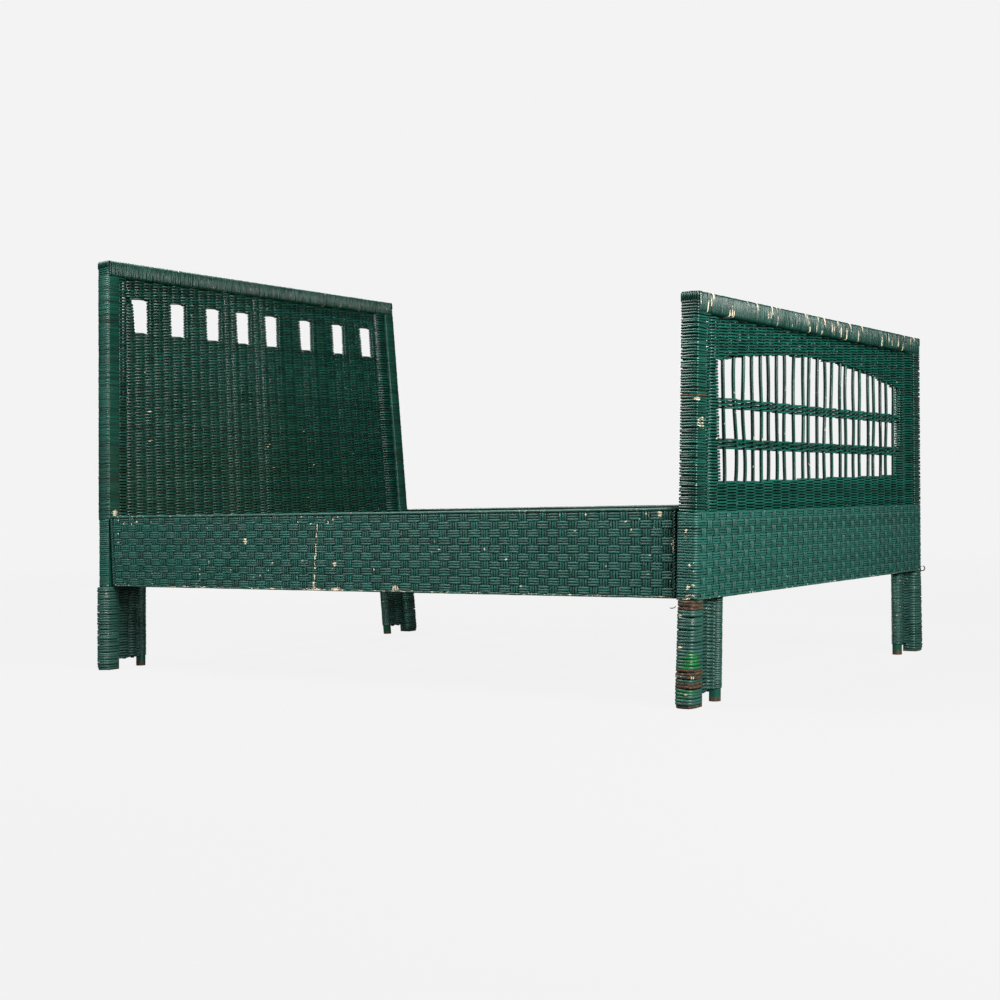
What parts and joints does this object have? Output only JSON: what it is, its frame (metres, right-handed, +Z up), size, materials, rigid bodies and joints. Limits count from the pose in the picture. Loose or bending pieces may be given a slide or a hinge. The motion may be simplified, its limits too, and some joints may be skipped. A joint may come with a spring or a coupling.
{
  "type": "woven cane bed frame",
  "caption": "Double bed frame of painted woven cane: headboard with a row of small windows, footboard with an arched open grille, plaited side rails and lift-out slats.",
  "frame": {"origin": "on the floor, at the middle of the bed's length and width", "axes": "+X from headboard to footboard, +Y across the bed away from the side facing the viewer, +Z up"},
  "size_m": [2.06, 1.5116, 1.2359],
  "materials": {
    "painted_cane": "round cane, woven and wound, dark green gloss paint worn to bare cane on the edges",
    "plaited_cane": "cane plaited in flat groups, dark green paint, dulled and chipped",
    "frame_wood": "sawn hardwood, painted green where it shows",
    "slat_wood": "planed softwood, bare",
    "fitting_steel": "plain mild steel with a dull oxide film"
  },
  "bodies": {
    "frame": {"head_post_near": "frame_wood", "head_inner_leg_near": "frame_wood", "head_post_wrap_near": "painted_cane", "head_leg_wrap_near": "painted_cane", "head_web_near": "painted_cane", "head_post_far": "frame_wood", "head_inner_leg_far": "frame_wood", "head_post_wrap_far": "painted_cane", "head_leg_wrap_far": "painted_cane", "head_web_far": "painted_cane", "head_top_rail": "frame_wood", "head_bottom_rail": "frame_wood", "head_apron_board": "frame_wood", "head_top_rail_wrap": "painted_cane", "head_panel": "painted_cane", "head_apron": "plaited_cane", "head_post_plates": "fitting_steel", "head_rail_hooks": "fitting_steel", "head_plate_screws": "fitting_steel", "foot_post_near": "frame_wood", "foot_inner_leg_near": "frame_wood", "foot_post_wrap_near": "painted_cane", "foot_leg_wrap_near": "painted_cane", "foot_web_near": "painted_cane", "foot_post_far": "frame_wood", "foot_inner_leg_far": "frame_wood", "foot_post_wrap_far": "painted_cane", "foot_leg_wrap_far": "painted_cane", "foot_web_far": "painted_cane", "foot_top_rail": "frame_wood", "foot_bottom_rail": "frame_wood", "foot_apron_board": "frame_wood", "foot_top_rail_wrap": "painted_cane", "foot_panel": "painted_cane", "foot_apron": "plaited_cane", "foot_post_plates": "fitting_steel", "foot_rail_hooks": "fitting_steel", "foot_plate_screws": "fitting_steel", "head_stakes": "painted_cane", "foot_uprights": "painted_cane", "foot_band_upper": "painted_cane", "foot_band_lower": "painted_cane", "rail_board_near": "frame_wood", "ledger_near": "frame_wood", "rail_cladding_near": "plaited_cane", "rail_bead_near": "plaited_cane", "rail_board_far": "frame_wood", "ledger_far": "frame_wood", "rail_cladding_far": "plaited_cane", "rail_bead_far": "plaited_cane", "ledger_screws": "fitting_steel"},
    "slat_1": {"slat_1": "slat_wood"},
    "slat_2": {"slat_2": "slat_wood"},
    "slat_3": {"slat_3": "slat_wood"},
    "slat_4": {"slat_4": "slat_wood"},
    "slat_5": {"slat_5": "slat_wood"},
    "slat_6": {"slat_6": "slat_wood"},
    "slat_7": {"slat_7": "slat_wood"},
    "slat_8": {"slat_8": "slat_wood"}
  },
  "joints": [
    {"name": "slat_1_lift", "type": "slide", "parent": "frame", "child": "slat_1", "axis": [0, 0, 1], "range_m": [0, 0.2]},
    {"name": "slat_2_lift", "type": "slide", "parent": "frame", "child": "slat_2", "axis": [0, 0, 1], "range_m": [0, 0.2]},
    {"name": "slat_3_lift", "type": "slide", "parent": "frame", "child": "slat_3", "axis": [0, 0, 1], "range_m": [0, 0.2]},
    {"name": "slat_4_lift", "type": "slide", "parent": "frame", "child": "slat_4", "axis": [0, 0, 1], "range_m": [0, 0.2]},
    {"name": "slat_5_lift", "type": "slide", "parent": "frame", "child": "slat_5", "axis": [0, 0, 1], "range_m": [0, 0.2]},
    {"name": "slat_6_lift", "type": "slide", "parent": "frame", "child": "slat_6", "axis": [0, 0, 1], "range_m": [0, 0.2]},
    {"name": "slat_7_lift", "type": "slide", "parent": "frame", "child": "slat_7", "axis": [0, 0, 1], "range_m": [0, 0.2]},
    {"name": "slat_8_lift", "type": "slide", "parent": "frame", "child": "slat_8", "axis": [0, 0, 1], "range_m": [0, 0.2]}
  ]
}
